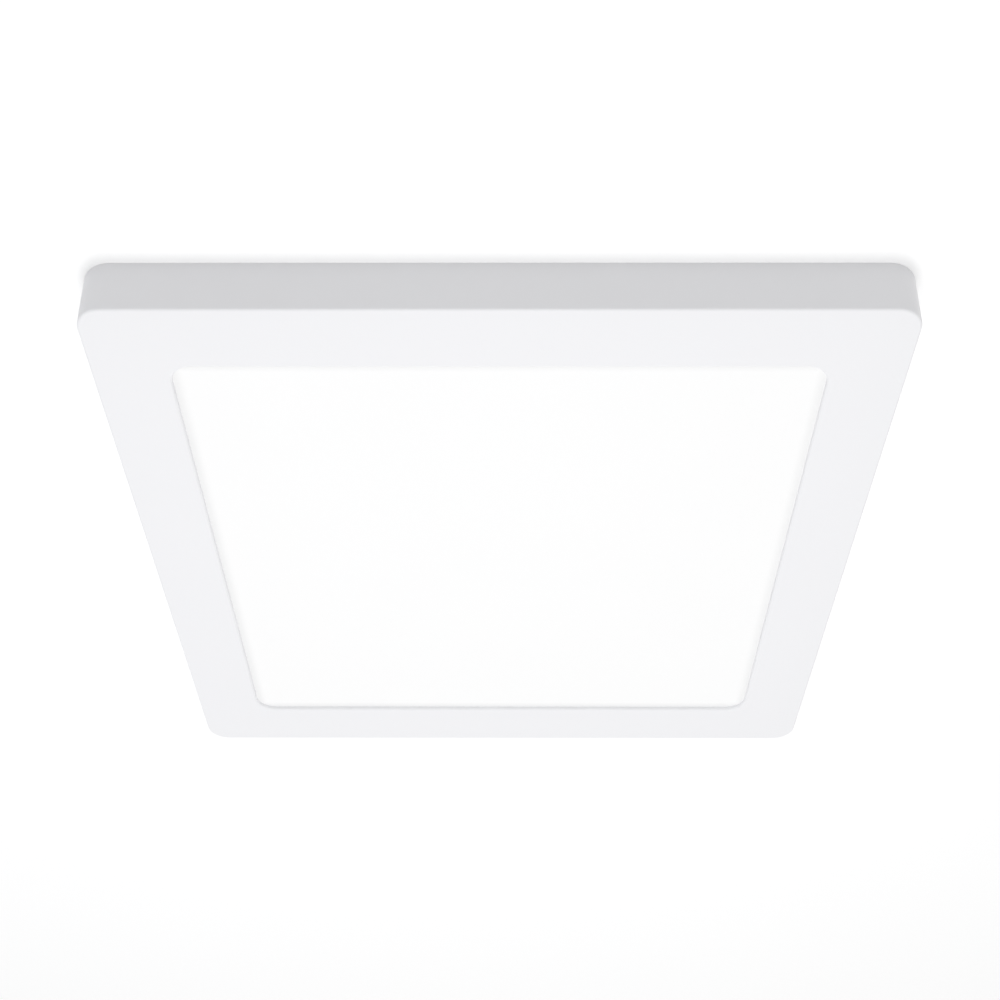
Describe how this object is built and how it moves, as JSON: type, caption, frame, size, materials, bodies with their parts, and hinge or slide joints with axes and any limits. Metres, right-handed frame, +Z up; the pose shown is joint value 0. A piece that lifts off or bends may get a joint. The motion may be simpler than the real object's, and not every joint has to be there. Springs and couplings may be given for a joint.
{
  "type": "flush mount ceiling light",
  "caption": "Slim square flush mount ceiling light with a recessed opal diffuser in a white border, held by spring clips to a steel ceiling plate.",
  "frame": {"origin": "middle of the plane where the mounting plate and the housing's rim meet the ceiling", "axes": "+Z up into the ceiling, +X right and -Y towards the viewer's side of the square lamp"},
  "size_m": [0.3, 0.3, 0.0225],
  "materials": {
    "housing": "satin",
    "opal": "satin",
    "clear_acrylic": "gloss",
    "reflector_film": "gloss",
    "foam": "matte",
    "rail_aluminium": "satin",
    "board_mask": "satin",
    "chip_phosphor": "satin",
    "galvanised_steel": "satin",
    "plated_steel": "satin",
    "spring_steel": "satin",
    "rivet_aluminium": "satin",
    "earth_brass": "satin",
    "black_rubber": "matte",
    "driver_plastic": "matte",
    "circuit_board": "satin",
    "black_parts": "satin",
    "ferrite": "satin",
    "copper_winding": "satin",
    "terminal_plastic": "satin",
    "button_plastic": "satin",
    "brown_sleeve": "satin",
    "blue_sleeve": "satin",
    "green_sleeve": "satin",
    "white_sleeve": "satin",
    "connector_plastic": "satin"
  },
  "bodies": {
    "bracket": {"mounting_plate": "galvanised_steel", "cable_grommet": "black_rubber", "clip_spring_left": "spring_steel", "clip_spring_right": "spring_steel", "spring_rivets": "rivet_aluminium", "plate_earth_tab": "earth_brass"},
    "lamp": {"housing_frame": "housing", "diffuser": "opal", "light_guide_plate": "clear_acrylic", "reflector_sheet": "reflector_film", "foam_backing_pad": "foam", "led_rail_front": "rail_aluminium", "led_rail_rear": "rail_aluminium", "led_rail_left": "rail_aluminium", "led_rail_right": "rail_aluminium", "led_board_front": "board_mask", "led_board_rear": "board_mask", "led_board_left": "board_mask", "led_board_right": "board_mask", "led_chips_front": "chip_phosphor", "led_chips_rear": "chip_phosphor", "led_chips_left": "chip_phosphor", "led_chips_right": "chip_phosphor", "back_cover": "galvanised_steel", "clip_catch_left": "plated_steel", "clip_catch_right": "plated_steel", "cover_screws": "plated_steel", "cover_earth_tab": "earth_brass", "earth_socket": "earth_brass", "lead_grommet": "black_rubber", "driver_case": "driver_plastic", "driver_cover": "driver_plastic", "driver_board": "circuit_board", "driver_capacitors": "black_parts", "driver_rectifier": "black_parts", "driver_transformer": "ferrite", "driver_choke": "copper_winding", "terminal_block": "terminal_plastic", "live_wire": "brown_sleeve", "neutral_wire": "blue_sleeve", "earth_wire": "green_sleeve", "output_lead": "white_sleeve", "lead_connector": "connector_plastic"},
    "live_button": {"live_button": "button_plastic"},
    "neutral_button": {"neutral_button": "button_plastic"},
    "earth_button": {"earth_button": "button_plastic"}
  },
  "joints": [
    {"name": "lamp_release", "type": "slide", "parent": "bracket", "child": "lamp", "axis": [0, 0, -1], "range_m": [0, 0.06], "deforming": ["clip_spring_left", "clip_spring_right"]},
    {"name": "live_release", "type": "slide", "parent": "lamp", "child": "live_button", "axis": [0, 0, -1], "range_m": [0, 0.001], "stiffness_N_per_m": 500, "springref_m": -0.002},
    {"name": "neutral_release", "type": "slide", "parent": "lamp", "child": "neutral_button", "axis": [0, 0, -1], "range_m": [0, 0.001], "stiffness_N_per_m": 500, "springref_m": -0.002},
    {"name": "earth_release", "type": "slide", "parent": "lamp", "child": "earth_button", "axis": [0, 0, -1], "range_m": [0, 0.001], "stiffness_N_per_m": 500, "springref_m": -0.002}
  ]
}
